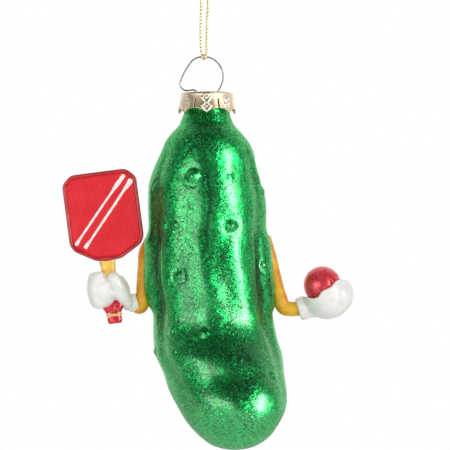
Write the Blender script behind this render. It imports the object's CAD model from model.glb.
"""Looks of a blown-glass pickle ornament with gloved arms, a small paddle and a ball, hung on gold thread."""

import math

import bpy
import numpy as np
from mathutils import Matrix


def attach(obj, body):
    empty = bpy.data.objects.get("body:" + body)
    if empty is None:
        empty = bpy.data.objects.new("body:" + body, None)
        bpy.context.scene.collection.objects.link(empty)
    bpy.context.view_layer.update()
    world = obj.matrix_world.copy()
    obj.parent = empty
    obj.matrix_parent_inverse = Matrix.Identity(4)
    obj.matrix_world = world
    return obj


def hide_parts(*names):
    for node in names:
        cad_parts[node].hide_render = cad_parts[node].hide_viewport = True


MM = 0.001
TAU = 2 * math.pi

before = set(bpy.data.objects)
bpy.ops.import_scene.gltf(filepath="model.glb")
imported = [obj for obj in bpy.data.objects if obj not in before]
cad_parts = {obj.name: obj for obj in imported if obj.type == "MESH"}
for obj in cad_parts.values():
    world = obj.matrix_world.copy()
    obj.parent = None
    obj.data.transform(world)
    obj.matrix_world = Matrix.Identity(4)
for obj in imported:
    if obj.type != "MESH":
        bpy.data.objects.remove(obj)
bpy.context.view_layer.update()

# Places on the ornament, in millimetres in the row frame
CAP_AXIS = 0.95  # the cap's and neck's axis, right of the hanging point
WIRE_TOP = -30.65
CAP_TOP = -42.35
NECK_RIM = -43.05
LEFT_WRIST = np.array([-23.25, 3.9, -110.65])
FIST = np.array([-30.15, 0.05, -106.8])
LEAN = math.radians(7.4)
RIGHT_WRIST = np.array([32.45, 4.3, -112.45])
BALL_MIDDLE = (6.2, -0.8, 7.6)
BALL = RIGHT_WRIST + BALL_MIDDLE
BALL_RADIUS = 6.1


# Shapes


def smoothstep(low, high, value):
    """0 below low, 1 above high, and 3t^2 - 2t^3 between them."""
    t = np.clip((value - low) / (high - low), 0, 1)
    return t * t * (3 - 2 * t)


def curve_through(stations, count):
    """A centripetal Catmull-Rom curve through stations, sampled evenly along its length in x, y and z."""
    p = np.asarray(stations, float)
    p = np.vstack([2 * p[0] - p[1], p, 2 * p[-1] - p[-2]])
    gaps = np.sqrt(np.linalg.norm(np.diff(p[:, :3], axis=0), axis=1))[:, None]
    d0, d1, d2 = gaps[:-2], gaps[1:-1], gaps[2:]
    a, b, c, d = p[:-3], p[1:-2], p[2:-1], p[3:]
    m1 = ((b - a) / d0 - (c - a) / (d0 + d1) + (c - b) / d1) * d1
    m2 = ((c - b) / d1 - (d - b) / (d1 + d2) + (d - c) / d2) * d1
    t = np.linspace(0, 1, 41)[:-1, None, None]
    fine = b + m1 * t + (3 * (c - b) - 2 * m1 - m2) * t**2 + (2 * (b - c) + m1 + m2) * t**3
    fine = np.vstack([fine.transpose(1, 0, 2).reshape(-1, p.shape[1]), p[-2]])
    steps = np.linalg.norm(np.diff(fine[:, :3], axis=0), axis=1)
    along = np.concatenate([[0], np.cumsum(steps)])
    wanted = np.linspace(0, along[-1], count)
    return np.stack([np.interp(wanted, along, column) for column in fine.T], 1)


def frames_along(path):
    """Unit tangents of a path, with two sides square to them that turn as little as they can."""
    tangent = np.gradient(path, axis=0)
    tangent /= np.linalg.norm(tangent, axis=1)[:, None]
    side = np.array([0.31, 0.87, 0.38])
    sides = []
    for t in tangent:
        side = side - t * side.dot(t)
        side /= np.linalg.norm(side)
        sides.append(side)
    sides = np.array(sides)
    return tangent, sides, np.cross(tangent, sides)


def quads(rows, columns):
    """The faces of a grid of points numbered row by row, closed round its columns."""
    r, c = np.mgrid[0 : rows - 1, 0:columns]
    d = (c + 1) % columns
    corners = [r * columns + c, r * columns + d, (r + 1) * columns + d, (r + 1) * columns + c]
    return np.stack(corners, -1).reshape(-1, 4)


def piece(name, points, faces, material, body, *nodes, sharp=None):
    """A smooth-shaded mesh of points in millimetres, which rides on a body and stands for CAD nodes."""
    mesh = bpy.data.meshes.new(name)
    mesh.from_pydata((np.asarray(points) * MM).tolist(), [], [list(map(int, f)) for f in faces])
    mesh.validate()
    mesh.polygons.foreach_set("use_smooth", np.ones(len(mesh.polygons), bool))
    if sharp:
        mesh.set_sharp_from_angle(angle=math.radians(sharp))
    mesh.materials.append(material)
    thing = bpy.data.objects.new(name, mesh)
    bpy.context.scene.collection.objects.link(thing)
    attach(thing, body)
    if nodes:
        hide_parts(*nodes)
    return thing


def lofted(rings, first=None, last=None):
    """A closed skin over rings of equally many points, with a pole or a flat fan at each end."""
    rings = np.asarray(rings, float)
    count, sides = rings.shape[:2]
    first = rings[0].mean(0) if first is None else first
    last = rings[-1].mean(0) if last is None else last
    points = np.vstack([rings.reshape(-1, 3), first, last])
    i = np.arange(sides)
    j = (i + 1) % sides
    start, end = count * sides, count * sides + 1
    top = (count - 1) * sides
    faces = quads(count, sides).tolist()
    faces += np.stack([np.full(sides, start), j, i], 1).tolist()
    faces += np.stack([np.full(sides, end), top + i, top + j], 1).tolist()
    return points, faces


def limb(stations, count, sides):
    """A round limb through stations of x, y, z and radius: circles square to the path, half-round ends."""
    line = curve_through(stations, count)
    path, radius = line[:, :3], line[:, 3]
    tangent, side, other = frames_along(path)
    a = np.linspace(0, TAU, sides, endpoint=False)
    ring = np.cos(a)[None, :, None] * side[:, None] + np.sin(a)[None, :, None] * other[:, None]
    body = path[:, None] + radius[:, None, None] * ring
    bend = np.radians(np.linspace(0, 82, 8)[1:])
    before, after = -tangent[0] * radius[0], tangent[-1] * radius[-1]
    start = [path[0] + before * math.sin(b) + ring[0] * radius[0] * math.cos(b) for b in bend]
    end = [path[-1] + after * math.sin(b) + ring[-1] * radius[-1] * math.cos(b) for b in bend]
    rings = np.concatenate([np.array(start[::-1]), body, np.array(end)])
    return lofted(rings, path[0] + before, path[-1] + after)


def egg(half_sizes, centre):
    """An ellipsoid as circles of latitude."""
    rows, sides = 32, 48
    b = np.linspace(-math.pi / 2, math.pi / 2, rows + 2)[1:-1, None]
    a = np.linspace(0, TAU, sides, endpoint=False)[None]
    ball = np.stack([np.cos(b) * np.cos(a), np.cos(b) * np.sin(a), np.sin(b) * np.ones_like(a)], -1)
    centre, half = np.asarray(centre, float), np.asarray(half_sizes, float)
    up = np.array([0, 0, half[2]])
    return lofted(centre + ball * half, centre - up, centre + up)


def merged(parts):
    """Several meshes of points and faces as one list of each."""
    points, faces, start = [], [], 0
    for p, f in parts:
        points.append(p)
        faces += [[v + start for v in face] for face in f]
        start += len(p)
    return np.vstack(points), faces


def melted(thing, voxel, rounds):
    """Turns overlapping closed shapes into one soft-creased skin: voxels of that size, then smoothing."""
    remesh = thing.modifiers.new("melt", "REMESH")
    remesh.mode = "VOXEL"
    remesh.voxel_size = voxel * MM
    remesh.use_smooth_shade = True
    smooth = thing.modifiers.new("soften", "SMOOTH")
    smooth.iterations = rounds
    smooth.factor = 0.5
    depsgraph = bpy.context.evaluated_depsgraph_get()
    mesh = bpy.data.meshes.new_from_object(thing.evaluated_get(depsgraph))
    thing.modifiers.clear()
    mesh.name = thing.data.name
    thing.data = mesh
    return thing


def turned(points, centre, lean):
    """Points in a leaning frame's own x, y and z, put at a centre: a turn about Y that tips the top left."""
    x, y, z = np.moveaxis(np.asarray(points, float), -1, 0)
    c, s = math.cos(lean), math.sin(lean)
    return np.stack([x * c - z * s, y, x * s + z * c], -1) + centre


def squarish(value, power):
    """The sign of a sine or cosine times its size to a power below 1, which squares a circle off."""
    return np.sign(value) * np.abs(value) ** power


# Shader maths


def tint(red, green, blue):
    """A colour of the photograph's scale, 0 to 255, as the linear colour that renders as it."""
    linear = [v / 3294.6 if v <= 10.3 else ((v / 255 + 0.055) / 1.055) ** 2.4 for v in (red, green, blue)]
    return (*linear, 1.0)


class Value:
    """A socket of a material; arithmetic on it adds Math nodes."""

    def __init__(self, finish, socket):
        self.finish, self.socket = finish, socket

    def _math(self, operation, *values):
        return self.finish.add("ShaderNodeMath", {"operation": operation}, values)

    def __add__(self, other):
        return self._math("ADD", self, other)

    def __sub__(self, other):
        return self._math("SUBTRACT", self, other)

    def __rsub__(self, other):
        return self._math("SUBTRACT", other, self)

    def __mul__(self, other):
        return self._math("MULTIPLY", self, other)

    __radd__, __rmul__ = __add__, __mul__

    def sine(self):
        return self._math("SINE", self)

    def least(self, other):
        return self._math("MINIMUM", self, other)

    def step(self, low, high):
        """0 below low and 1 above high, smooth between them."""
        settings = {"interpolation_type": "SMOOTHSTEP"}
        return self.finish.add("ShaderNodeMapRange", settings, [self, low, high, 0.0, 1.0])


class Finish:
    """A material under construction, on Object coordinates in millimetres."""

    def __init__(self, name):
        self.material = bpy.data.materials.new(name)
        self.material.use_nodes = True
        self.tree = self.material.node_tree
        self.shader = self.tree.nodes["Principled BSDF"]
        metres = self.add("ShaderNodeTexCoord", output="Object")
        self.place = self.add("ShaderNodeVectorMath", {"operation": "SCALE"}, {0: metres, "Scale": 1 / MM})

    def add(self, kind, settings=None, values=(), output=0):
        """A node of a type, its settings set first, then its sockets' values or links."""
        node = self.tree.nodes.new(kind)
        for key, value in (settings or {}).items():
            setattr(node, key, value)
        pairs = values.items() if isinstance(values, dict) else enumerate(values)
        for key, value in pairs:
            self.put(node.inputs[key], value)
        return Value(self, node.outputs[output])

    def put(self, socket, value):
        """Links a value to a socket, or sets a constant on it."""
        if isinstance(value, Value):
            self.tree.links.new(value.socket, socket)
        else:
            socket.default_value = value

    def axes(self, vector=None):
        """The x, y and z of a vector, the place in millimetres if none is given."""
        node = self.tree.nodes.new("ShaderNodeSeparateXYZ")
        self.put(node.inputs[0], vector or self.place)
        return [Value(self, out) for out in node.outputs]

    def squeezed(self, scale):
        """The place in millimetres with each axis times its own scale."""
        return self.add("ShaderNodeVectorMath", {"operation": "MULTIPLY"}, [self.place, scale])

    def noise(self, size, detail=3.0, rough=0.5, vector=None):
        """Soft noise whose patches are about size millimetres across."""
        values = {"Vector": vector or self.place, "Scale": 1 / size, "Detail": detail, "Roughness": rough}
        return self.add("ShaderNodeTexNoise", {}, values, "Fac")

    def cells(self, size):
        """Random cells about size millimetres across, each of one random colour."""
        return self.add("ShaderNodeTexVoronoi", {}, {"Vector": self.place, "Scale": 1 / size}, "Color")

    def mix(self, factor, a, b):
        """From colour a at factor 0 to colour b at 1."""
        return self.add("ShaderNodeMix", {"data_type": "RGBA"}, {0: factor, 6: a, 7: b}, 2)

    def bump(self, height, depth):
        """A normal from a height of 0 to 1, which stands for a depth in millimetres."""
        return self.add("ShaderNodeBump", {}, {"Strength": 1.0, "Distance": depth * MM, "Height": height})

    def done(self, **sockets):
        """The material, with the shader's sockets given by name."""
        for name, value in sockets.items():
            self.put(self.shader.inputs[name.replace("_", " ")], value)
        return self.material


# Finishes

GLITTER = 0.26  # millimetres across a grain
RIB_PITCH, ROW_PITCH = 0.74, 0.7  # the ribs along the paddle's face and the lines across it


def glittered_green():
    """Green lacquer over silvered glass, darker in the hollows, with a dusting of fine glitter."""
    f = Finish("glittered_green")
    hollow = f.add("ShaderNodeAttribute", {"attribute_name": "hollow"}, output="Fac")
    patches = f.noise(8.0, 2.0)
    fine = f.noise(1.8, 3.0, 0.6)
    base = f.mix(patches.step(0.35, 0.65), tint(0, 172, 78), tint(0, 204, 94))
    base = f.mix(fine.step(0.35, 0.7) * 0.4, base, tint(24, 226, 110))
    grain = f.axes(f.cells(GLITTER))
    low = (f.axes()[2] * -1.0).step(104.0, 130.0)
    base = f.mix((grain[0] * 1.6).least(1.0), tint(0, 90, 40), base)
    base = f.mix(grain[2].step(0.7, 0.92) * 0.5, base, tint(60, 240, 130))
    base = f.mix(hollow * 0.75, base, tint(0, 64, 34))
    spark = grain[1].step(0.9, 0.93)
    base = f.mix(spark * 0.8, base, tint(120, 250, 170))
    random = f.add("ShaderNodeVectorMath", {"operation": "SUBTRACT"}, [f.cells(GLITTER), (0.5, 0.5, 0.5)])
    tilt = f.add("ShaderNodeVectorMath", {"operation": "SCALE"}, {0: random, "Scale": 0.31 + spark * 1.5})
    shaken = f.add("ShaderNodeVectorMath", {"operation": "ADD"}, [f.bump(f.noise(5.0, 2.0), 0.8), tilt])
    shaken = f.add("ShaderNodeVectorMath", {"operation": "NORMALIZE"}, [shaken])
    return f.done(
        Base_Color=base,
        Metallic=1.0,
        Roughness=0.36,
        Normal=shaken,
        Specular_Tint=(0.3, 0.8, 0.4, 1.0),
        Coat_Weight=(grain[0] + spark * 0.3 + low * 0.3).least(1.0),
        Coat_Roughness=0.25,
        Coat_IOR=1.9,
    )


def pressed_cap_metal():
    """Pale gold plating, greyer in the pressed hollows, with fine rub marks."""
    f = Finish("pressed_cap_metal")
    relief = f.add("ShaderNodeAttribute", {"attribute_name": "relief"}, output="Fac")
    wear = f.noise(1.2, 3.0, 0.6)
    base = f.mix(relief.step(0.0, 0.7), tint(246, 224, 190), tint(255, 250, 232))
    base = f.mix(wear.step(0.5, 0.8) * 0.35, base, tint(236, 214, 176))
    marks = f.noise(0.35, 2.0, 0.6)
    return f.done(
        Base_Color=base,
        Metallic=1.0,
        Roughness=0.36 + wear * 0.16,
        Normal=f.bump(marks, 0.012),
    )


def drawn_steel():
    """Grey wire with lengthwise draw marks."""
    f = Finish("drawn_steel")
    streaks = f.noise(0.5, 3.0, 0.6, f.squeezed((1.0, 1.0, 0.15)))
    base = f.mix(streaks.step(0.3, 0.7), tint(118, 112, 102), tint(186, 180, 168))
    return f.done(Base_Color=base, Metallic=1.0, Roughness=0.24 + streaks * 0.16)


def gold_thread():
    """Metallic thread: bright foil turns with darker gaps, from the piece's own map along and round it."""
    f = Finish("gold_thread")
    along, around, _ = f.axes(f.add("ShaderNodeUVMap", {"uv_map": "strand"}))
    turns = ((along * 2.0 + around) * TAU).sine() * 0.5 + 0.5
    sparkle = f.axes(f.cells(0.22))[0]
    base = f.mix(turns.step(0.05, 0.6), tint(180, 150, 86), tint(250, 236, 184))
    base = f.mix(sparkle.step(0.75, 0.95) * 0.8, base, tint(255, 250, 228))
    return f.done(Base_Color=base, Metallic=0.75, Roughness=0.26 + sparkle * 0.2)


def honey_lacquer(name, deep, light):
    """Golden lacquer, a little cloudy, deeper where it has pooled."""
    f = Finish(name)
    cloud = f.noise(3.6, 2.0)
    base = f.mix(cloud.step(0.3, 0.7), deep, light)
    return f.done(
        Base_Color=base,
        Roughness=0.4,
        Coat_Weight=0.2,
        Coat_Roughness=0.16,
        Normal=f.bump(f.noise(1.4, 2.0), 0.05),
        Subsurface_Weight=0.15,
        Subsurface_Radius=(0.002, 0.001, 0.0004),
    )


def white_lacquer():
    """Glossy white with a faint warm mottle."""
    f = Finish("white_lacquer")
    cloud = f.noise(2.6, 2.0)
    base = f.mix(cloud.step(0.3, 0.7), tint(236, 234, 230), tint(247, 245, 241))
    return f.done(
        Base_Color=base,
        Roughness=0.4,
        Coat_Weight=0.2,
        Coat_Roughness=0.3,
        Normal=f.bump(f.noise(1.1, 2.0), 0.04),
    )


def pearl_red():
    """Deep pearl red with fine metal flake."""
    f = Finish("pearl_red")
    cloud = f.noise(3.0, 2.0)
    flake = f.axes(f.cells(0.2))[0]
    base = f.mix(cloud.step(0.3, 0.7), tint(216, 44, 60), tint(240, 78, 90))
    base = f.mix(flake.step(0.85, 0.98) * 0.4, base, tint(248, 150, 150))
    return f.done(
        Base_Color=base,
        Metallic=0.3,
        Roughness=0.24 + flake * 0.08,
        Specular_Tint=(0.6, 0.3, 0.3, 1.0),
        Coat_Weight=0.6,
        Coat_Roughness=0.18,
        Coat_IOR=1.7,
    )


def ribbed_red():
    """Satin red face with fine ribs along the blade and fainter lines across it."""
    f = Finish("ribbed_red")
    x, _, z = f.axes()
    c, s = math.cos(LEAN), math.sin(LEAN)
    across = x * c + z * s
    along = z * c - x * s
    ribs = (across * (TAU / RIB_PITCH)).sine() * 0.5 + 0.5
    rows = (along * (TAU / ROW_PITCH)).sine() * 0.5 + 0.5
    weave = ribs * 0.75 + rows * 0.25
    cloud = f.noise(6.0, 2.0)
    base = f.mix(cloud.step(0.3, 0.7), tint(242, 20, 34), tint(252, 36, 48))
    base = f.mix(weave.step(0.1, 0.9), f.mix(0.6, base, tint(176, 16, 30)), base)
    return f.done(
        Base_Color=base,
        Roughness=0.45,
        Specular_IOR_Level=0.25,
        Normal=f.bump(weave, 0.05),
    )


def rim_red():
    """Clear red lacquer, thick and dark at the rim."""
    f = Finish("rim_red")
    cloud = f.noise(4.0, 3.0)
    base = f.mix(cloud.step(0.3, 0.72), tint(174, 22, 30), tint(200, 48, 54))
    return f.done(
        Base_Color=base,
        Roughness=0.3,
        Coat_Weight=0.5,
        Coat_Roughness=0.06,
        Normal=f.bump(f.noise(1.8, 2.0), 0.05),
    )


def crimson_grip():
    """Pearl crimson grip with streaks of gold rubbed over it."""
    f = Finish("crimson_grip")
    streaks = f.noise(1.0, 4.0, 0.65, f.squeezed((1.4, 1.0, 0.35)))
    flake = f.axes(f.cells(0.25))[0]
    base = f.mix(flake, tint(186, 16, 42), tint(232, 50, 70))
    base = f.mix(streaks.step(0.57, 0.66) * 0.85, base, tint(232, 156, 84))
    return f.done(
        Base_Color=base,
        Metallic=0.5,
        Roughness=0.26 + flake * 0.1,
        Coat_Weight=0.6,
        Coat_Roughness=0.1,
        Normal=f.bump(streaks, 0.12),
    )


def band_gold():
    """Coppery gold paint, brushed round the handle."""
    f = Finish("band_gold")
    strokes = f.noise(0.8, 3.0, 0.6, f.squeezed((0.4, 0.4, 2.0)))
    base = f.mix(strokes.step(0.3, 0.7), tint(255, 150, 90), tint(255, 206, 146))
    return f.done(Base_Color=base, Metallic=0.2, Roughness=0.3, Normal=f.bump(strokes, 0.04))


def stripe_enamel():
    """White enamel laid on in one thick stroke."""
    f = Finish("stripe_enamel")
    cloud = f.noise(1.6, 2.0)
    base = f.mix(cloud.step(0.3, 0.7), tint(246, 232, 232), tint(255, 250, 250))
    return f.done(Base_Color=base, Roughness=0.3, Coat_Weight=0.6, Normal=f.bump(cloud, 0.05))


GREEN = glittered_green()
CAP_METAL = pressed_cap_metal()
STEEL = drawn_steel()
THREAD_GOLD = gold_thread()
AMBER = honey_lacquer("amber_lacquer", tint(228, 150, 12), tint(248, 188, 40))
HONEY = honey_lacquer("honey_lacquer", tint(248, 184, 40), tint(255, 218, 96))
WHITE = white_lacquer()
PEARL_RED = pearl_red()
FACE_RED = ribbed_red()
RIM_RED = rim_red()
CRIMSON = crimson_grip()
BAND = band_gold()
ENAMEL = stripe_enamel()


# Camera

lens = bpy.data.cameras.new("camera")
camera = bpy.data.objects.new("camera", lens)
bpy.context.scene.collection.objects.link(camera)
VIEW_WIDTH, VIEW_DISTANCE = 146.25, 600.0  # millimetres across the picture at the ornament's middle
VIEW_X, VIEW_Z = 6.825, -85.25  # the picture's middle
lens.lens = lens.sensor_width * VIEW_DISTANCE / VIEW_WIDTH
camera.location = (VIEW_X * MM, -VIEW_DISTANCE * MM, VIEW_Z * MM)
camera.rotation_euler = (math.pi / 2, 0, 0)
bpy.context.scene.camera = camera


# Thread and its hitch

THREAD, THREAD_PITCH = 0.78, 2.2  # thickness, and length of one full twist
HITCH_THREAD, HITCH_PITCH = 0.62, 1.5
# In metres: from the hitch up one strand, over the hanging point and down the other
THREAD_ROUTE = [
    (-0.00085, 0, -0.0290),
    (-0.0010, 0, -0.0274),
    (-0.00105, 0.00005, -0.0250),
    (-0.0011, 0.0001, -0.0220),
    (-0.00105, 0.0001, -0.0190),
    (-0.00095, 0.00005, -0.0160),
    (-0.0009, 0, -0.0125),
    (-0.0011, 0, -0.0095),
    (-0.00155, 0, -0.0065),
    (-0.0021, 0, -0.0038),
    (-0.0023, 0, -0.0019),
    (-0.00163, 0, -0.00028),
    (0, 0, 0.00039),
    (0.00163, 0, -0.00028),
    (0.0023, 0, -0.0019),
    (0.00215, 0, -0.0038),
    (0.00175, 0, -0.0065),
    (0.00142, 0, -0.0095),
    (0.0013, 0, -0.0125),
    (0.0012, -0.00005, -0.0160),
    (0.00105, -0.0001, -0.0190),
    (0.00095, -0.0001, -0.0220),
    (0.00085, -0.00005, -0.0250),
    (0.0008, 0, -0.0274),
    (0.00075, 0, -0.0290),
]


def strand(name, path, diameter, pitch, body, sides=20):
    """Twisted thread along a path: a circle whose radius dips between two lobes that turn once per pitch."""
    tangent, side, other = frames_along(path)
    steps = np.linalg.norm(np.diff(path, axis=0), axis=1)
    along = np.concatenate([[0], np.cumsum(steps)])
    a = np.linspace(0, TAU, sides, endpoint=False)[None]
    turn = a - (TAU / pitch) * along[:, None]
    radius = diameter / 2 * (0.78 + 0.22 * np.abs(np.cos(turn)))[..., None]
    ring = np.cos(a)[..., None] * side[:, None] + np.sin(a)[..., None] * other[:, None]
    points, faces = lofted(path[:, None] + radius * ring, path[0], path[-1])
    thing = piece(name, points, faces, THREAD_GOLD, body)
    around = np.append(np.tile(a[0] / TAU, len(path)), [0, 0])
    run = np.append(np.repeat(along / pitch, sides), [0, along[-1] / pitch])
    corners = np.zeros(len(thing.data.loops), int)
    thing.data.loops.foreach_get("vertex_index", corners)
    layer = thing.data.uv_layers.new(name="strand")
    layer.data.foreach_set("uv", np.stack([run[corners], -around[corners]], 1).ravel())
    return thing


def hitch():
    """Two tight turns of the thread round the wire and one across them, as one coil that swings over."""
    t = np.linspace(0, 1, 150)
    a = TAU * (0.25 + 2.5 * t)
    radius = 0.29 + 0.34 + 0.12 * np.sin(math.pi * t)
    x = -0.62 + 1.24 * t
    coil = np.stack([x, radius * np.cos(a), radius * np.sin(a)], 1)
    tails = np.array([[-0.85, 0, 1.75], [-0.8, 0.1, 1.2]]), np.array([[0.8, -0.1, 1.1], [0.75, 0, 1.75]])
    line = curve_through(np.vstack([tails[0], coil[::10], tails[1]]), 220)
    return line + [0, 0, WIRE_TOP]


route = curve_through(np.array(THREAD_ROUTE) / MM, 420)
thread_loop = strand("thread_loop", route, THREAD, THREAD_PITCH, "cord")
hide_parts("hanging_cord")
thread_hitch = strand("thread_hitch", hitch(), HITCH_THREAD, HITCH_PITCH, "eye", sides=14)
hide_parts("cord_knot")


# Wire

WIRE = 0.46
WIRE_HOLE, LEG_SPREAD = 3.375, 5.15  # from the cap's axis to a hole, and to a leg's tip
# x, and z from the wire's top, from the left hole round to the right one
WIRE_LOOP = [
    (-2.75, -10.95),
    (-3.45, -10.68),
    (-4.9, -10.85),
    (-6.4, -10.8),
    (-7.45, -9.8),
    (-7.8, -8.6),
    (-7.35, -7.1),
    (-6.3, -4.9),
    (-4.95, -2.65),
    (-3.5, -0.95),
    (-1.6, -0.05),
    (0, 0),
    (1.5, -0.1),
    (3.2, -0.85),
    (4.8, -2.35),
    (5.8, -4.1),
    (6.2, -6.1),
    (6.05, -7.8),
    (5.5, -9.35),
    (4.85, -10.7),
]


def wire_leg(hole, tip):
    """One leg from its tip inside the neck up to its hole."""
    return [(tip, -23.3), (hole + 0.62 * (tip - hole), -17.725), (hole, -12.5), (hole, -11.65)]


def wire_line():
    """The wire's centreline: left leg up through its hole, round the loop, and down the right leg."""
    left = wire_leg(CAP_AXIS - WIRE_HOLE, CAP_AXIS - LEG_SPREAD)
    right = wire_leg(CAP_AXIS + WIRE_HOLE, CAP_AXIS + LEG_SPREAD)
    points = left + WIRE_LOOP + right[::-1]
    return np.array([(x, 0, z + WIRE_TOP, WIRE / 2) for x, z in points])


piece("wire_loop", *limb(wire_line(), 400, 14), STEEL, "hanger", "hanger_wire")


# Crown cap

CAP_RADIUS, CAP_FLARE, CAP_HEIGHT, CAP_SHEET = 8.3, 9.35, 6.8, 0.3
PETALS, PETAL_SCALLOP, SLIT_WIDTH, SLIT_TOP = 7, 1.45, 0.42, 2.2
CAP_FLAT, CAP_ROUND = 7.8, 0.5  # radius of the flat top, and of the bend at its edge


def petal_edge(turn):
    """Height of a petal's lower edge, turn in petals from the front: lowest at its tip."""
    away = np.abs(turn - np.round(turn)) * 2
    return -CAP_HEIGHT + PETAL_SCALLOP * np.minimum(1, 1.7 * away) ** 0.8


def pressing(turn, down):
    """Pressed pattern on the petals: two lozenges one over the other, or a rosette on every other petal."""
    p = (turn - np.round(turn)) * TAU / PETALS * 8.8
    odd = np.isin(np.mod(np.round(turn), PETALS), (1, 3, 4, 6))

    def lozenge(middle):
        """A raised diamond outline with a dot in it."""
        outline = np.abs(p) / 1.35 + np.abs(down - middle) / 1.75 - 1
        return np.exp(-((outline / 0.27) ** 2)) + np.exp(-(p**2 + (down - middle) ** 2) / 0.2)

    spread, around = np.hypot(p, down - 3.3), np.arctan2(down - 3.3, p)
    leaf = 1.45 * (0.72 + 0.28 * np.cos(5 * around))
    rosette = np.exp(-(((spread - leaf) / 0.26) ** 2)) + np.exp(-((spread / 0.5) ** 2))
    rosette += np.exp(-(((spread - 2.15) / 0.2) ** 2)) * 0.7
    beads = np.exp(-(((down - 0.75) / 0.22) ** 2)) * (0.55 + 0.45 * np.cos(p * 9))
    pattern = np.where(odd, rosette, np.maximum(lozenge(1.9), lozenge(4.6)))
    edge = smoothstep(0.35, 1.0, down) * smoothstep(2.9, 2.2, np.abs(p))
    return np.clip(pattern * edge + beads * 0.5, 0, 1)


def crown_cap():
    """Cap sheet: rows over the flat top, round the edge and down the flared skirt, split at the slits."""
    per = 44
    half_slit = SLIT_WIDTH / 2 / (TAU * CAP_RADIUS / PETALS)
    petal = np.concatenate([[-0.5 + half_slit], np.linspace(-0.5 + half_slit, 0.5 - half_slit, per)[1:]])
    turn = (np.arange(PETALS)[:, None] + petal[None]).ravel()
    angle = -math.pi / 2 + turn * TAU / PETALS
    rows = []
    for radius in (0.02, 1.5, 2.2, 3.0, WIRE_HOLE, 3.8, 5.0, 6.4, 7.4, CAP_FLAT):
        rows.append((np.full_like(turn, radius), np.zeros_like(turn), np.zeros_like(turn)))
    for bend in np.radians([25, 50, 72]):
        radius, height = CAP_FLAT + CAP_ROUND * math.sin(bend), -CAP_ROUND + CAP_ROUND * math.cos(bend)
        rows.append((np.full_like(turn, radius), np.full_like(turn, height), np.zeros_like(turn)))
    for share in np.linspace(0, 1, 48):
        height = -CAP_ROUND + share * (petal_edge(turn) + CAP_ROUND)
        relief = pressing(turn, -height)
        radius = CAP_RADIUS + (CAP_FLARE - CAP_RADIUS) * share**1.4 + 0.2 * relief
        rows.append((radius, height, relief))
    radius, height, relief = (np.array(column) for column in zip(*rows))
    points = np.stack([CAP_AXIS + radius * np.cos(angle), radius * np.sin(angle), CAP_TOP + height], -1)
    columns = len(turn)
    faces = quads(len(rows), columns)
    row, column = faces[:, 0] // columns, faces[:, 0] % columns
    in_slit = (column % per == per - 1) & (height[row, column] < -SLIT_TOP)
    faces = faces[~in_slit]
    thing = piece("crown_cap", points.reshape(-1, 3), faces[:, ::-1], CAP_METAL, "cap", "cap_crown", sharp=50)
    attribute = thing.data.attributes.new("relief", "FLOAT", "POINT")
    attribute.data.foreach_set("value", relief.ravel().astype(np.float32))
    sheet = thing.modifiers.new("sheet", "SOLIDIFY")
    sheet.thickness = CAP_SHEET * MM
    sheet.offset = -1
    return thing


crown_cap()


# Glass body

WALL = 1.0
GLASS_DEPTH = 0.96
BODY_BACK = 4.0
BODY_FORWARD = 15.0
BEND_FROM, BEND_TO = 70, 108
NECK_RADIUS, NECK_LENGTH, SHOULDER = 7.2, 5.2, 17.2
# Drop below the neck's rim, offset of the middle to the right, half width
BODY_OUTLINE = [
    (0, 0, NECK_RADIUS),
    (NECK_LENGTH, 0, NECK_RADIUS),
    (7.2, -0.1, 7.9),
    (9.6, -0.1, 8.9),
    (12.2, -0.1, 11.2),
    (14.8, 0, 13.3),
    (18.6, 0.2, 15.1),
    (24.0, -0.3, 16.8),
    (29.5, -0.4, 18.5),
    (34.0, -0.1, 19.2),
    (43.0, 0.1, 19.2),
    (53.0, 0.7, 19.5),
    (62.0, 1.0, 19.8),
    (71.0, 2.0, 19.5),
    (79.0, 2.7, 20.1),
    (84.0, 3.6, 20.6),
    (90.0, 5.4, 19.4),
    (95.5, 6.8, 18.6),
    (100.5, 7.9, 17.0),
    (105.5, 8.3, 14.3),
    (109.5, 8.7, 11.0),
    (112.6, 8.6, 6.6),
    (114.2, 8.4, 0),
]
WART_STRENGTH = 0.6
# Degrees round from the front to the right, drop, radius, and a strength of its own for some
WARTS = [
    (-13, 26.6, 2.0, 1.0),
    (-31, 42.5, 1.5),
    (-46, 42.5, 1.4),
    (27, 27.2, 1.3, 0.3),
    (24, 42.2, 1.8, 0.8),
    (64, 18.4, 1.4),
    (80, 31.4, 1.7),
    (-63, 30.4, 1.6),
    (-30, 58.7, 1.5),
    (67, 55.2, 1.6),
    (-44, 76.0, 1.5),
    (-9, 76.3, 1.4),
    (63, 75.0, 1.4),
    (-82, 83.0, 1.7),
    (49, 89.6, 1.5),
    (168, 27.0, 1.6),
    (205, 39.0, 1.7),
    (186, 60.0, 1.8),
    (152, 73.0, 1.5),
    (176, 92.0, 1.5),
]


def grooves(angle, drop):
    """0 to 1 in the long hollows: a narrow one in front, and five wider ones round the body."""
    window = smoothstep(14, 26, drop) * (1 - smoothstep(84, 104, drop))
    sway = 0.16 * np.sin(drop / 9.0 + 1.0) + 0.1 * np.sin(drop / 4.3 + 2.0 * angle)
    turn = angle + math.pi / 2 + sway * 0.25
    front = np.abs((turn + math.pi) % TAU - math.pi)
    line = np.exp(-((front / 0.085) ** 2)) * (1 - smoothstep(44, 60, drop))
    return window * np.where(front < 0.52, line, 0.8 * ((1 + np.cos(6 * turn)) / 2) ** 5)


def ripples(angle, drop):
    """-1 to 1 over nine soft ripples round the middle of the body."""
    window = smoothstep(40, 54, drop) * (1 - smoothstep(70, 82, drop))
    return window * np.cos(9 * (angle + math.pi / 2 + 0.09 + 0.05 * np.sin(drop / 6.0)))


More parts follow.
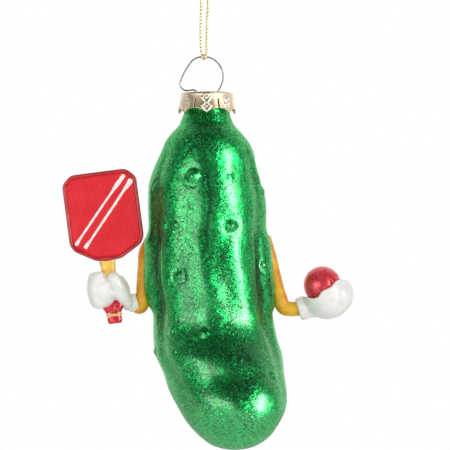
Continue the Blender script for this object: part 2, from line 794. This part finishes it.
def hollows(angle, drop):
    """Where lacquer has pooled, 0 to 1: in grooves, beside side ribs, between ripples, low in front."""
    between = np.maximum(0, -ripples(angle, drop)) ** 1.2
    facing = np.sin(angle) < 0
    front = (np.cos(angle) ** 2 < 0.25) & facing
    beside = 0.5 * side_rib(drop) * np.exp(-(((from_side(angle) - 1.7) / 0.35) ** 2))
    across, down = (np.cos(angle) - 0.38) / 0.36, (drop - 85.5) / 8
    pool = 0.8 * np.exp(-(across**2) - down**2) * facing
    return np.clip(np.where(front, 1.0, 0.4) * grooves(angle, drop) + 0.6 * between + beside + pool, 0, 1)


def side_rib(drop):
    """Where down the body the side ribs stand."""
    return smoothstep(42.5, 48.5, drop) * (1 - smoothstep(67.5, 71.5, drop))


def from_side(angle):
    """How far round from the nearer side, in widths of a side rib."""
    return np.arcsin(np.minimum(np.abs(np.sin(angle)), 1)) / 0.3


def relief(angle, drop):
    """Added radius: long shallow hollows, and a stronger rib down each side."""
    front = np.exp(-((np.cos(angle) / 0.3) ** 2)) * (np.sin(angle) < 0)
    rib = np.exp(-(from_side(angle) ** 2)) - 0.45 * np.exp(-(((from_side(angle) - 1.7) / 0.45) ** 2))
    return 1.35 * side_rib(drop) * rib - (1.0 - 0.7 * front) * grooves(angle, drop)


def dents(angle, drop):
    """Shallow unevenness in millimetres of radius: crossed waves, ripples, and a lump low on the left."""
    window = smoothstep(12, 24, drop) * (1 - smoothstep(92, 108, drop))
    waves = 0.16 * np.sin(5 * angle + 0.8 + 0.9 * np.sin(drop / 9.5)) * np.sin(drop / 7.3 + 2.0)
    waves += 0.12 * np.sin(9 * angle + 2.1 + 0.8 * np.sin(drop / 6.1)) * np.sin(drop / 5.2)
    waves += 0.1 * np.sin(13 * angle - 1.0 + 0.9 * np.sin(drop / 4.7)) * np.sin(drop / 3.9 + 1.0)
    calm = 0.6 + 0.4 * smoothstep(0.15, 0.6, np.abs(np.cos(angle)))
    front_left = np.maximum(0, -np.sin(angle)) ** 2 * smoothstep(0.35, -0.05, np.cos(angle))
    lump = 0.5 * np.cos(TAU * (drop - 98.5) / 17) * np.exp(-(((drop - 96) / 9) ** 2)) * front_left
    return window * waves * calm + 0.26 * ripples(angle, drop) + lump


def middle_depth(drop):
    """Depth of the outline's middle: a little behind the neck, then forward in the lower end."""
    return BODY_BACK * smoothstep(8, 40, drop) - BODY_FORWARD * smoothstep(BEND_FROM, BEND_TO, drop)


def skin(line, angle, inset):
    """Points of the glass at places along the outline and angles, inset millimetres into the wall."""
    slope = np.gradient(line, axis=0)
    flat = np.hypot(slope[:, 0], slope[:, 2])
    drop = np.maximum(line[:, 0] + inset * slope[:, 2] / flat, 0)[:, None]
    half = np.maximum(line[:, 2] - inset * slope[:, 0] / flat, 0)[:, None]
    share = np.minimum(1, half / NECK_RADIUS)
    radius = half + relief(angle, line[:, :1]) * share * (half > 0)
    if not inset:
        radius = radius + dents(angle, line[:, :1]) * share
    neck = 1 - smoothstep(NECK_LENGTH, SHOULDER, line[:, :1])
    deep = GLASS_DEPTH * (1 - neck) + neck
    shear = 0.2 * smoothstep(75, 100, drop)
    y = deep * radius * np.sin(angle)
    x = CAP_AXIS + line[:, 1:2] + radius * np.cos(angle) - shear * y
    y = middle_depth(drop) + y
    return np.stack([x, y, NECK_RIM - drop + 0 * angle], -1)


def wart_places(line, angle, points):
    """The skin's own point at each wart."""
    places = []
    for degrees, drop, radius, *strength in WARTS:
        row = int(np.abs(line[:, 0] - drop).argmin())
        column = int(np.abs((angle[0] - math.radians(degrees - 90) + math.pi) % TAU - math.pi).argmin())
        places.append((points[row, column], radius, *(strength or [WART_STRENGTH])))
    return places


def raised(points, places):
    """Points moved out along the skin's normal by round warts, each in a shallow ring-shaped hollow."""
    across = np.roll(points, -1, 1) - np.roll(points, 1, 1)
    down = np.gradient(points, axis=0)
    normal = np.cross(down, across)
    normal /= np.maximum(np.linalg.norm(normal, axis=-1, keepdims=True), 1e-9)
    height = np.zeros(points.shape[:2])
    for centre, radius, strength in places:
        reach = np.linalg.norm(points - centre, axis=-1) / radius
        dome = 0.5 * np.exp(-((reach / 0.72) ** 2.2)) - 0.13 * np.exp(-(((reach - 1.4) / 0.5) ** 2))
        height += strength * radius * dome
    return points + normal * height[..., None]


def glass_body():
    """The pickle: outer skin from the bottom up to the neck's rim, and the wall's inside back down."""
    rows, columns = 300, 280
    angle = np.linspace(0, TAU, columns, endpoint=False)[None]
    line = curve_through(np.array(BODY_OUTLINE, float)[:, [1, 2, 0]], rows)[:, [2, 0, 1]]
    outer = skin(line, angle, 0)
    outer = raised(outer, wart_places(line, angle, outer))
    hollow = hollows(angle, line[:, :1] + 0 * angle)[-2::-1]
    inside = skin(line[::6], angle, WALL)
    rings = np.concatenate([outer[-2::-1], inside[:-1]])
    bottom = outer[-1, 0]
    points, faces = lofted(rings, bottom, bottom + [0, 0, WALL])
    thing = piece("glass_body", points, faces, GREEN, "glass", "pickle_shell")
    attribute = thing.data.attributes.new("hollow", "FLOAT", "POINT")
    values = np.zeros(len(points), np.float32)
    values[: hollow.size] = hollow.ravel()
    attribute.data.foreach_set("value", values)
    return thing


glass_body()


# Arms: x from the cap's axis, y, z from the neck's rim, radius

LEFT_ARM = [
    (-19.3, 8.0, -47.6, 1.6),
    (-20.1, 7.9, -51.0, 2.4),
    (-20.4, 6.7, -56.0, 2.45),
    (-20.7, 5.6, -61.0, 2.45),
    (-21.0, 5.0, -65.8, 2.5),
    (-22.1, 4.5, -68.9, 2.5),
    (-24.2, 3.9, -67.6, 2.05),
]
RIGHT_ARM = [
    (19.7, 8.2, -46.8, 1.5),
    (20.6, 8.8, -53.0, 2.35),
    (21.8, 7.6, -58.5, 2.4),
    (22.8, 6.5, -62.6, 2.4),
    (23.9, 5.4, -66.2, 2.4),
    (25.2, 4.9, -69.2, 2.45),
    (27.8, 4.6, -69.7, 2.4),
    (31.5, 4.3, -69.4, 2.3),
]
for side, stations in (("left", LEFT_ARM), ("right", RIGHT_ARM)):
    shifted = np.array(stations) + [CAP_AXIS, 0, NECK_RIM, 0]
    piece(f"{side}_sleeve", *limb(shifted, 90, 36), AMBER, "glass", f"{side}_arm")


# Gloves


def cuff(name, wrist, outer, bore, width, tilt, node):
    """A rolled cuff: a squared-off circle carried round an axis that lies along the wrist."""
    a = np.linspace(0, TAU, 72, endpoint=False)
    b = np.linspace(0, TAU, 28, endpoint=False)
    deep, middle = (outer - bore) / 2, (outer + bore) / 2
    radius = middle + deep * squarish(np.cos(b), 0.82)
    across = width / 2 * squarish(np.sin(b), 0.82)
    x, a = across[None, :] + 0 * a[:, None], a[:, None]
    rings = np.stack([x, radius[None, :] * np.cos(a), radius[None, :] * np.sin(a)], -1)
    points = turned(rings.reshape(-1, 3), wrist, tilt)
    faces = quads(len(a) + 1, len(b)) % len(points)
    return piece(name, points, faces, WHITE, "glass", node)


cuff("left_cuff_roll", LEFT_WRIST, 2.95, 2.0, 3.3, math.radians(14), "left_cuff")
cuff("right_cuff_roll", RIGHT_WRIST, 3.85, 2.2, 3.6, math.radians(18), "right_cuff")

GLOVE_VOXEL = 0.24
FINGER_RADIUS, FINGER_PITCH, FINGERS_RAISED = 1.58, 2.95, 0.9
FINGER_REACH = (-2.2, 0.2, 0.4)  # x of the tips; the fourth finger curls up instead
FINGER_BULGE = (5.3, 6.1, 6.1, 4.7)
# x, y, z and radius in the fist's own frame
THUMB = [
    (4.6, 3.6, -5.6, 1.7),
    (4.8, 1.2, -4.4, 1.9),
    (3.7, -1.1, -2.3, 2.3),
    (2.8, -2.7, -0.1, 2.6),
    (2.2, -3.6, 2.1, 2.6),
    (1.6, -3.9, 3.9, 2.4),
]


def left_finger(i):
    """Stations of one curled finger, from the palm behind the handle round its left to the front."""
    z = (1.5 - i) * FINGER_PITCH + FINGERS_RAISED
    knuckle, r = -FINGER_BULGE[i], FINGER_RADIUS
    back = [(-2.4, 4.0, z, r), (knuckle * 0.78, 3.44, z, r), (knuckle, 0.2, z, r)]
    if i == 3:
        return back + [(-3.9, -2.9, z + 0.9, r), (-2.4, -3.7, z + 2.3, r), (-0.9, -3.65, z + 3.4, r)]
    tip = (FINGER_REACH[i], -3.65, z, r * 0.9)
    return back + [(knuckle * 0.76, -3.23, z, r), (knuckle * 0.25, -3.75, z, r), tip]


def left_glove():
    """The fist: four curled fingers, the thumb and the palm, melted into one casting."""
    parts = [limb(left_finger(i), 40, 24) for i in range(4)]
    parts.append(limb(THUMB, 40, 24))
    parts.append(egg((4.5, 2.4, 5.7), (1.5, 4.8, -0.6)))  # palm, behind the handle
    parts.append(egg((4.9, 5.3, 5.8), (-2.8, -0.1, 0.6)))  # flesh under the fingers
    parts.append(limb([(-4.1, -1.7, -1.9, 3.3), (-4.2, -1.9, 1.0, 3.5), (-3.8, -1.8, 3.3, 3.5)], 40, 24))
    parts.append(egg((2.6, 3.2, 3.9), (3.0, -1.0, 1.2)))  # root of the thumb
    points, faces = merged(parts)
    nodes = [f"left_finger_{i}" for i in range(1, 5)] + ["left_thumb", "left_palm"]
    thing = piece("left_glove", turned(points, FIST, LEAN), faces, WHITE, "glass", *nodes)
    return melted(thing, GLOVE_VOXEL, 40)


# From the right wrist: half sizes and centre of each rounded part, then x and z along the rim
CUP_PARTS = [
    ((8.2, 7.9, 7.9), (7.7, -1.1, 4.3)),
    ((4.9, 7.3, 5.8), (11.5, -1.1, 4.4)),
    ((4.6, 3.8, 3.3), (3.0, -0.2, 0.2)),
]
CUP_RIM = [
    (-9, 3.2),
    (1.3, 3.7),
    (2.7, 3.4),
    (4.4, 3.9),
    (5.6, 5.7),
    (8.4, 7.1),
    (10.6, 9.2),
    (13.0, 9.3),
    (20, 8.6),
]


def carved(part, *cutters):
    """A closed mesh of points and faces less others, as points and faces again."""
    thing, *tools = [piece(f"blank_{i}", *shape, WHITE, "glass") for i, shape in enumerate([part, *cutters])]
    for tool in tools:
        thing.modifiers.new("cut", "BOOLEAN").object = tool
    mesh = thing.evaluated_get(bpy.context.evaluated_depsgraph_get()).to_mesh()
    points = np.zeros(len(mesh.vertices) * 3)
    mesh.vertices.foreach_get("co", points)
    faces = [list(face.vertices) for face in mesh.polygons]
    for used in (thing, *tools):
        bpy.data.objects.remove(used)
    return points.reshape(-1, 3) / MM, faces


def lid(rim):
    """The room over the rim: a block whose lower face follows the rim's line of x and z."""
    top, reach, count = 30.0, 30.0, 60
    line = curve_through([(x, 0, z) for x, z in rim], count)[:, [0, 2]]
    low = [np.stack([line[:, 0], np.full(count, y), line[:, 1]], 1) for y in (-reach, reach)]
    high = [np.stack([line[:, 0], np.full(count, y), np.full(count, top)], 1) for y in (-reach, reach)]
    points = np.vstack([low[0], low[1], high[1], high[0]])
    starts = [0, count, 2 * count, 3 * count]
    faces = []
    for a, b in zip(starts, starts[1:] + starts[:1]):
        faces += [(a + i, b + i, b + i + 1, a + i + 1) for i in range(count - 1)]
    faces += [(starts[0], starts[3], starts[2], starts[1]), tuple(s + count - 1 for s in starts)]
    return points, faces


def right_glove():
    """The cupped hand: a bowl under a wavy rim, hollowed for the ball."""
    room = egg([BALL_RADIUS + 0.12] * 3, BALL_MIDDLE)
    parts = [carved(egg(*shape), lid(CUP_RIM), room) for shape in CUP_PARTS]
    points, faces = merged(parts)
    nodes = [f"right_finger_{i}" for i in range(1, 5)] + ["right_palm"]
    thing = piece("right_glove", points + RIGHT_WRIST, faces, WHITE, "glass", *nodes)
    return melted(thing, GLOVE_VOXEL, 14)


left_glove()
right_glove()


# Ball

HOLE_RADIUS, HOLE_DEPTH, HOLE_ROUND, HOLES = 0.55, 0.9, 0.12, 26


def ball():
    """A sphere pressed in at evenly spread points: each hole's wall follows a steep smoothstep."""
    b = np.linspace(-math.pi / 2, math.pi / 2, 202)[1:-1, None]
    a = np.linspace(0, TAU, 360, endpoint=False)[None]
    out = np.stack([np.cos(b) * np.cos(a), np.cos(b) * np.sin(a), np.sin(b) + 0 * a], -1)
    i = np.arange(HOLES)
    height = 1 - 2 * (i + 0.5) / HOLES
    turn = i * math.pi * (3 - math.sqrt(5))
    flat = np.sqrt(1 - height**2)
    centres = np.stack([flat * np.cos(turn), flat * np.sin(turn), height], -1)
    away = np.arccos(np.clip(out @ centres.T, -1, 1)).min(-1) * BALL_RADIUS
    sunk = HOLE_DEPTH * (1 - smoothstep(HOLE_RADIUS - HOLE_ROUND, HOLE_RADIUS + HOLE_ROUND, away))
    rings = BALL + out * (BALL_RADIUS - sunk)[..., None]
    pole = np.array([0, 0, BALL_RADIUS])
    return piece("ball_skin", *lofted(rings, BALL - pole, BALL + pole), PEARL_RED, "glass", "ball")


ball()


# Paddle, in the blade's own frame: x across, z up along the handle

BLADE_RISE = 26.2
BLADE = turned(np.array([0.7, 0, BLADE_RISE]), FIST, LEAN)
HANDLE = turned(np.array([0, 0, BLADE_RISE]), FIST, LEAN)
BLADE_HALF, GUARD, CORNER = 1.35, 1.25, 1.6  # half thickness, the rim's width, the corners' rounding
EDGE_POINTS, RIM_SIDES = 420, 24
TAPE_PITCH = 2.1
# x and z of the blade's right half, from the throat up
HALF_OUTLINE = [(3.9, -16.1), (10.9, -12.0), (12.15, -9.7), (12.15, 9.2), (11.6, 10.4), (9.1, 12.85)]
OUTLINE = np.array(HALF_OUTLINE + [(-x, z) for x, z in HALF_OUTLINE[::-1]])


def rounded(outline, radius):
    """A closed outline with each corner replaced by a curve that starts and ends radius from it."""
    points, t = [], np.linspace(0, 1, 7)[:, None]
    for i, here in enumerate(outline):
        before, after = outline[i - 1], outline[(i + 1) % len(outline)]
        a, b = before - here, after - here
        reach = min(radius, 0.45 * np.linalg.norm(a), 0.45 * np.linalg.norm(b))
        a, b = here + a / np.linalg.norm(a) * reach, here + b / np.linalg.norm(b) * reach
        points.append((1 - t) ** 2 * a + 2 * t * (1 - t) * here + t**2 * b)
    return np.vstack(points)


def evenly(outline, count):
    """A closed outline sampled at even steps."""
    loop = np.vstack([outline, outline[:1]])
    along = np.concatenate([[0], np.cumsum(np.linalg.norm(np.diff(loop, axis=0), axis=1))])
    wanted = np.linspace(0, along[-1], count, endpoint=False)
    return np.stack([np.interp(wanted, along, loop[:, 0]), np.interp(wanted, along, loop[:, 1])], 1)


def outward(outline):
    """Unit normals of an anticlockwise closed outline."""
    along = np.roll(outline, -1, 0) - np.roll(outline, 1, 0)
    normal = np.stack([along[:, 1], -along[:, 0]], 1)
    return normal / np.linalg.norm(normal, axis=1)[:, None]


def blade_rim():
    """The guard: a rounded section carried round the blade's outline."""
    edge = evenly(rounded(OUTLINE, CORNER), EDGE_POINTS)
    normal = outward(edge)
    b = np.linspace(0, TAU, RIM_SIDES, endpoint=False)
    inward = GUARD / 2 * (1 - squarish(np.cos(b), 0.62))
    deep = BLADE_HALF * squarish(np.sin(b), 0.62)
    flat = edge[:, None] - normal[:, None] * inward[None, :, None]
    points = np.stack([flat[..., 0], deep[None] + 0 * flat[..., 0], flat[..., 1]], -1)
    points = turned(points.reshape(-1, 3), BLADE, LEAN)
    faces = quads(EDGE_POINTS + 1, RIM_SIDES) % len(points)
    return piece("blade_rim", points, faces[:, ::-1], RIM_RED, "glass", "paddle_edge_guard")


def blade_face(name, front, back, node):
    """A flat panel inside the guard: the outline drawn in, its edge rounded, filled to its middle."""
    edge = evenly(rounded(OUTLINE, CORNER), EDGE_POINTS)
    inner = edge - outward(edge) * (GUARD - 0.1)
    rows = [(1.0, back), (1.0, 0.6 * front + 0.4 * back), (0.985, front)]
    rows += [(share, front) for share in np.linspace(0.93, 0.03, 14)]
    rings = [
        np.stack([inner[:, 0] * share, np.full(EDGE_POINTS, deep), (inner[:, 1] + 1.5) * share - 1.5], 1)
        for share, deep in rows
    ]
    points, faces = lofted(rings)
    if front < back:
        faces = [f[::-1] for f in faces]
    return piece(name, turned(points, BLADE, LEAN), faces, FACE_RED, "glass", node)


def stripe(name, stations, node):
    """A raised stroke: half-round across, its width from the stations, both ends rounded off past them."""
    stations = np.array([(x, 0, z, w) for x, z, w in stations])
    for end, beside in ((0, 1), (-1, -2)):
        way = stations[end] - stations[beside]
        stations[end, :3] += way[:3] / np.linalg.norm(way[:3]) * stations[end, 3] / 2
    line = curve_through(stations, 160)
    path, width = line[:, [0, 2]], line[:, 3]
    along = np.gradient(path, axis=0)
    along /= np.linalg.norm(along, axis=1)[:, None]
    across = np.stack([-along[:, 1], along[:, 0]], 1)
    run = np.concatenate([[0], np.cumsum(np.linalg.norm(np.diff(path, axis=0), axis=1))])
    end = np.minimum(run, run[-1] - run)
    half = width / 2 * np.sqrt(np.clip(1 - (1 - np.minimum(1, end / (width / 2))) ** 2, 0.0, 1))
    half *= 1 + 0.06 * np.sin(run * 2.1) + 0.04 * np.sin(run * 4.7)
    b = np.linspace(0, math.pi, 13)
    side = np.cos(b)[None] * half[:, None]
    rise = np.sin(b)[None] * np.minimum(0.34, half[:, None] * 0.7)
    ridge = path[:, None] + across[:, None] * side[..., None]
    front = -BLADE_HALF + 0.27
    points = np.stack([ridge[..., 0], front - rise, ridge[..., 1]], -1)
    under = points[:, [-1, 0]] + np.array([0, 0.12, 0])
    points = np.concatenate([points, under], 1)
    points, faces = lofted(points)
    return piece(name, turned(points, BLADE, LEAN), faces, ENAMEL, "glass", node)


def sleeve(name, stations, material, node, count=40, waves=None):
    """A handle sleeve: superellipses of width and thickness from the stations, stacked up the handle."""
    line = curve_through([(0, 0, z, w, t) for z, w, t in stations], count)
    a = np.linspace(0, TAU, 64, endpoint=False)
    z = line[:, 2][:, None] + 0 * a
    grow = waves(z, a) if waves else 1
    x = line[:, 3][:, None] / 2 * squarish(np.cos(a), 0.72) * grow
    y = line[:, 4][:, None] / 2 * squarish(np.sin(a), 0.72) * grow
    points, faces = lofted(np.stack([x, y, z], -1))
    return piece(name, turned(points, HANDLE, LEAN), faces, material, "glass", node, sharp=40)


def wrapping(z, a):
    """The grip's overlapping turns of tape: a saw-tooth that climbs one pitch each time round."""
    turn = np.mod(z / TAPE_PITCH + a / TAU, 1)
    return 1 + 0.035 * (turn - 0.5) * smoothstep(0, 0.12, turn)


blade_rim()
blade_face("blade_front", -1.1, -0.7, "paddle_front_face")
blade_face("blade_back", 1.1, 0.7, "paddle_back_face")
stripe(
    "stroke_upper",
    [
        (8.0, 10.4, 1.35),
        (6.5, 8.8, 1.45),
        (4.9, 7.1, 1.35),
        (3.7, 5.7, 0.85),
        (0.8, 2.5, 0.8),
        (-4.0, -2.9, 0.85),
        (-8.4, -7.9, 0.85),
        (-9.2, -8.85, 1.2),
        (-9.75, -9.5, 1.35),
    ],
    "stripe_upper",
)
stripe(
    "stroke_lower",
    [
        (10.0, 8.5, 1.75),
        (9.2, 7.4, 1.6),
        (8.0, 6.2, 1.05),
        (5.0, 2.7, 0.9),
        (0.0, -3.0, 0.92),
        (-5.3, -9.1, 0.85),
        (-6.3, -10.15, 1.25),
        (-6.9, -10.8, 1.55),
    ],
    "stripe_lower",
)

sleeve("handle_throat", [(-21.1, 4.7, 2.9), (-18.2, 4.7, 2.9), (-16.2, 5.5, 2.75)], HONEY, "paddle_throat")
sleeve(
    "handle_grip",
    [(-33.2, 5.0, 3.4), (-31.0, 7.0, 3.7), (-27.2, 5.2, 3.7), (-21.35, 5.2, 3.5)],
    CRIMSON,
    "paddle_grip",
    waves=wrapping,
    count=90,
)
sleeve("handle_band", [(-34.35, 5.0, 3.4), (-33.9, 5.25, 3.6), (-33.4, 5.0, 3.4)], BAND, "grip_band")
sleeve("handle_butt", [(-36.7, 3.85, 2.8), (-36.2, 4.6, 3.3), (-34.5, 4.7, 3.26)], CRIMSON, "butt_cap")

core_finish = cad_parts["paddle_core"].data.materials
core_finish.clear()
core_finish.append(RIM_RED)


# Studio, with the lamps in metres

MIDDLE = np.array([0.005, 0, -0.09])
FLOOR_HALF, FLOOR_LEVEL = 900, -330
DIM_TO, WHITE_FROM = -0.4, 0.8  # the sky's brightening from the camera's side to behind


def softbox(name, azimuth, elevation, distance, width, height, radiance, matt=True, gloss=True):
    """A lit panel facing the ornament: azimuth from the camera's side towards the right, in degrees.

    Matt surfaces, or gloss, can be left out of its light.
    """
    light = bpy.data.lights.new(name, "AREA")
    light.shape = "RECTANGLE"
    light.size, light.size_y = width, height
    light.energy = radiance * math.pi * width * height
    lamp = bpy.data.objects.new(name, light)
    a, e = math.radians(azimuth), math.radians(elevation)
    away = np.array([math.sin(a) * math.cos(e), -math.cos(a) * math.cos(e), math.sin(e)])
    lamp.location = MIDDLE + away * distance
    lamp.rotation_euler = (math.pi / 2 - e, 0, a)
    lamp.visible_camera = False
    lamp.visible_diffuse, lamp.visible_glossy = matt, gloss
    bpy.context.scene.collection.objects.link(lamp)


softbox("left_box", -34, 2, 0.9, 0.7, 0.48, 2.5, matt=False)
softbox("right_box", 49, 8, 0.9, 0.28, 0.55, 12.0, matt=False)
softbox("right_fill", 36, 26, 0.9, 0.6, 0.6, 2.0, gloss=False)
softbox("front_fill", 0, -6, 0.9, 0.6, 0.6, 1.9, gloss=False)


def white_floor():
    """A level white square under the ornament, faintly mottled."""
    f = Finish("floor_white")
    base = f.mix(f.noise(60.0, 2.0), tint(240, 240, 240), tint(243, 243, 242))
    corners = np.array([(-1, -1), (1, -1), (1, 1), (-1, 1)], float) * FLOOR_HALF
    points = np.column_stack([corners, np.full(4, FLOOR_LEVEL)])
    mesh = bpy.data.meshes.new("floor")
    mesh.from_pydata((points * MM).tolist(), [], [(0, 1, 2, 3)])
    mesh.materials.append(f.done(Base_Color=base, Roughness=0.9))
    square = bpy.data.objects.new("floor", mesh)
    bpy.context.scene.collection.objects.link(square)
    return square


floor = white_floor()


def studio_world(front, back, fill):
    """White for the camera; for the light on the ornament, dim on the camera's side and white behind.

    Matt surfaces get at least the fill.
    """
    world = bpy.data.worlds.new("studio")
    world.use_nodes = True
    tree = world.node_tree
    tree.nodes.clear()
    make = tree.nodes.new
    output, light = make("ShaderNodeOutputWorld"), make("ShaderNodeBackground")
    rays, way, split = make("ShaderNodeLightPath"), make("ShaderNodeTexCoord"), make("ShaderNodeSeparateXYZ")
    spread, most, matt, least = (make("ShaderNode" + kind) for kind in ("MapRange", "Math", "Math", "Math"))
    spread.interpolation_type = "SMOOTHSTEP"
    for index, value in enumerate((DIM_TO, WHITE_FROM, front, back)):
        spread.inputs[index + 1].default_value = value
    most.operation = matt.operation = "MAXIMUM"
    least.operation = "MULTIPLY"
    least.inputs[1].default_value = fill
    light.inputs["Color"].default_value = (1, 1, 1, 1)
    tree.links.new(way.outputs["Generated"], split.inputs[0])
    tree.links.new(split.outputs["Y"], spread.inputs[0])
    tree.links.new(rays.outputs["Is Diffuse Ray"], least.inputs[0])
    tree.links.new(spread.outputs[0], matt.inputs[0])
    tree.links.new(least.outputs[0], matt.inputs[1])
    tree.links.new(matt.outputs[0], most.inputs[0])
    tree.links.new(rays.outputs["Is Camera Ray"], most.inputs[1])
    tree.links.new(most.outputs[0], light.inputs["Strength"])
    tree.links.new(light.outputs[0], output.inputs[0])
    return world


bpy.context.scene.world = studio_world(front=0.04, back=1.0, fill=0.55)
bpy.context.scene.view_settings.view_transform = "Standard"
